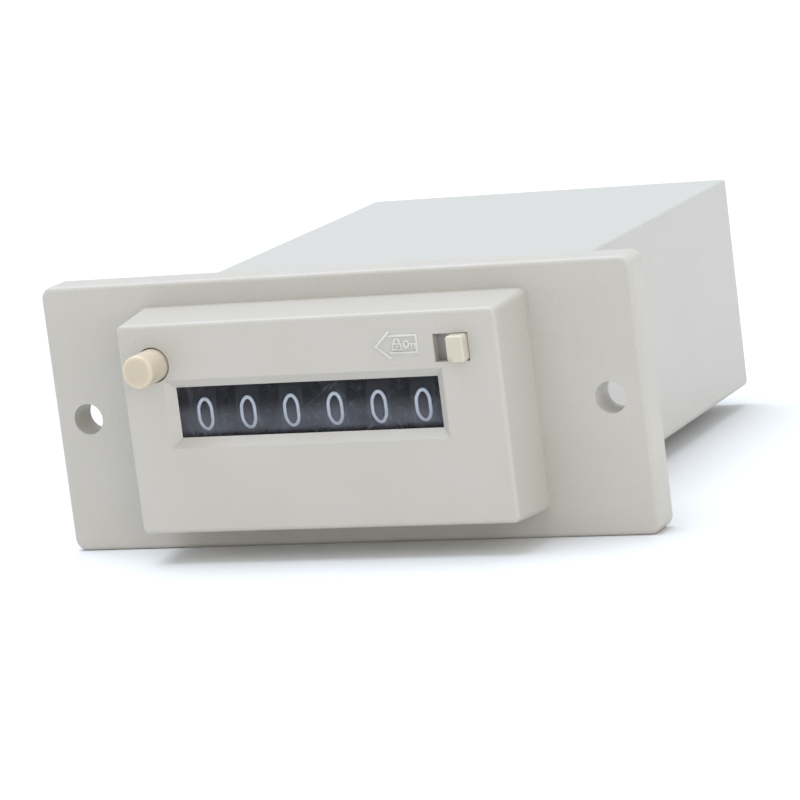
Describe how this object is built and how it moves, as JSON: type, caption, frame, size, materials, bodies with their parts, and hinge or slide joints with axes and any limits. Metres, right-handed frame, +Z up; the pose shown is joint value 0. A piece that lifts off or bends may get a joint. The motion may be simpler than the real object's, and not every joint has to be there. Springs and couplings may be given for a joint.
{
  "type": "panel impulse counter",
  "caption": "Panel-mount electromagnetic counter: flange with two holes, raised bezel with a number window, push button and lock slider, long box case behind.",
  "frame": {"origin": "midway between the two panel screw holes, on the rear face of the flange", "axes": "+Y into the panel along the case, +X to the viewer's right, +Z up"},
  "size_m": [0.1, 0.1107, 0.043],
  "materials": {
    "case_plastic": "satin light grey moulding",
    "bezel_plastic": "satin light grey moulding",
    "clear_pane": "clear polished plastic pane",
    "cream_plastic": "satin cream moulding",
    "steel": "bright turned steel",
    "spring_steel": "drawn spring wire",
    "zinc_steel": "zinc plated sheet",
    "bobbin_plastic": "moulded bobbin plastic",
    "copper_winding": "enamelled copper wire",
    "black_plastic": "matt black moulding",
    "brass_contact": "bright brass",
    "lead_insulation": "soft red insulation",
    "wheel_plastic": "matt black moulding with white figures",
    "white_plastic": "white acetal"
  },
  "bodies": {
    "case": {"case_shell": "case_plastic", "front_bezel": "bezel_plastic", "window_pane": "clear_pane", "chassis": "zinc_steel", "spacer_rods": "steel", "detent_spring": "spring_steel", "number_shaft": "steel", "coil_yoke": "zinc_steel", "coil_core": "steel", "coil_bobbin": "bobbin_plastic", "coil_winding": "copper_winding", "core_screw": "steel", "armature_pin": "steel", "armature_spring": "spring_steel", "chassis_screws": "steel", "terminal_block": "black_plastic", "terminal_contacts": "brass_contact", "clamp_washers": "brass_contact", "terminal_screws": "steel", "lead_wires": "lead_insulation", "rear_cover": "case_plastic", "cover_screws": "steel", "reset_spring": "spring_steel"},
    "button": {"reset_button": "cream_plastic", "button_stem": "steel"},
    "lock": {"lock_slider": "cream_plastic"},
    "rocker": {"reset_rocker": "zinc_steel", "rocker_shaft": "steel", "reset_crank": "zinc_steel", "pinion_shaft": "steel"},
    "armature_lever": {"armature": "zinc_steel", "pallet": "brass_contact"},
    "wheel_1": {"number_wheel_1": "wheel_plastic", "star_wheel": "white_plastic"},
    "wheel_2": {"number_wheel_2": "wheel_plastic"},
    "wheel_3": {"number_wheel_3": "wheel_plastic"},
    "wheel_4": {"number_wheel_4": "wheel_plastic"},
    "wheel_5": {"number_wheel_5": "wheel_plastic"},
    "wheel_6": {"number_wheel_6": "wheel_plastic"},
    "pinion_1": {"transfer_pinion_1": "white_plastic"},
    "pinion_2": {"transfer_pinion_2": "white_plastic"},
    "pinion_3": {"transfer_pinion_3": "white_plastic"},
    "pinion_4": {"transfer_pinion_4": "white_plastic"},
    "pinion_5": {"transfer_pinion_5": "white_plastic"}
  },
  "joints": [
    {"name": "wheel_1_turn", "type": "hinge", "parent": "case", "child": "wheel_1", "pos_m": [0.01706, -0.0012, 0.0016], "axis": [1, 0, 0], "continuous": true},
    {"name": "wheel_2_turn", "type": "hinge", "parent": "case", "child": "wheel_2", "pos_m": [0.0097, -0.0012, 0.0016], "axis": [1, 0, 0], "continuous": true},
    {"name": "wheel_3_turn", "type": "hinge", "parent": "case", "child": "wheel_3", "pos_m": [0.00234, -0.0012, 0.0016], "axis": [1, 0, 0], "continuous": true},
    {"name": "wheel_4_turn", "type": "hinge", "parent": "case", "child": "wheel_4", "pos_m": [-0.00502, -0.0012, 0.0016], "axis": [1, 0, 0], "continuous": true},
    {"name": "wheel_5_turn", "type": "hinge", "parent": "case", "child": "wheel_5", "pos_m": [-0.01238, -0.0012, 0.0016], "axis": [1, 0, 0], "continuous": true},
    {"name": "wheel_6_turn", "type": "hinge", "parent": "case", "child": "wheel_6", "pos_m": [-0.01974, -0.0012, 0.0016], "axis": [1, 0, 0], "continuous": true},
    {"name": "button_press", "type": "slide", "parent": "case", "child": "button", "axis": [0, 1, 0], "range_m": [0, 0.004], "stiffness_N_per_m": 300, "springref_m": -0.002, "deforming": ["reset_spring"]},
    {"name": "rocker_turn", "type": "hinge", "parent": "case", "child": "rocker", "pos_m": [0, 0.0124, -0.0079], "axis": [1, 0, 0], "range_deg": [-12.7, 0]},
    {"name": "lock_slide", "type": "slide", "parent": "case", "child": "lock", "axis": [-1, 0, 0], "range_m": [0, 0.00265]},
    {"name": "armature_turn", "type": "hinge", "parent": "case", "child": "armature_lever", "pos_m": [0, 0.0242, -0.0132], "axis": [1, 0, 0], "range_deg": [-3.9, 0], "stiffness_Nm_per_rad": 0.02, "springref_deg": 5.73},
    {"name": "pinion_1_turn", "type": "hinge", "parent": "rocker", "child": "pinion_1", "pos_m": [0.01336, 0.0128, 0.001], "axis": [1, 0, 0], "continuous": true},
    {"name": "pinion_2_turn", "type": "hinge", "parent": "rocker", "child": "pinion_2", "pos_m": [0.006, 0.0128, 0.001], "axis": [1, 0, 0], "continuous": true},
    {"name": "pinion_3_turn", "type": "hinge", "parent": "rocker", "child": "pinion_3", "pos_m": [-0.00136, 0.0128, 0.001], "axis": [1, 0, 0], "continuous": true},
    {"name": "pinion_4_turn", "type": "hinge", "parent": "rocker", "child": "pinion_4", "pos_m": [-0.00872, 0.0128, 0.001], "axis": [1, 0, 0], "continuous": true},
    {"name": "pinion_5_turn", "type": "hinge", "parent": "rocker", "child": "pinion_5", "pos_m": [-0.01608, 0.0128, 0.001], "axis": [1, 0, 0], "continuous": true}
  ],
  "couplings": [
    {"joint": "wheel_2_turn", "follows": "wheel_1_turn", "ratio": 0.1},
    {"joint": "wheel_3_turn", "follows": "wheel_1_turn", "ratio": 0.01},
    {"joint": "wheel_4_turn", "follows": "wheel_1_turn", "ratio": 0.001},
    {"joint": "wheel_5_turn", "follows": "wheel_1_turn", "ratio": 0.0001},
    {"joint": "wheel_6_turn", "follows": "wheel_1_turn", "ratio": 0.00001},
    {"joint": "pinion_1_turn", "follows": "wheel_1_turn", "ratio": -0.25},
    {"joint": "pinion_2_turn", "follows": "wheel_1_turn", "ratio": -0.025},
    {"joint": "pinion_3_turn", "follows": "wheel_1_turn", "ratio": -0.0025},
    {"joint": "pinion_4_turn", "follows": "wheel_1_turn", "ratio": -0.00025},
    {"joint": "pinion_5_turn", "follows": "wheel_1_turn", "ratio": -0.000025},
    {"joint": "rocker_turn", "follows": "button_press", "rad_per_m": -54.8}
  ]
}
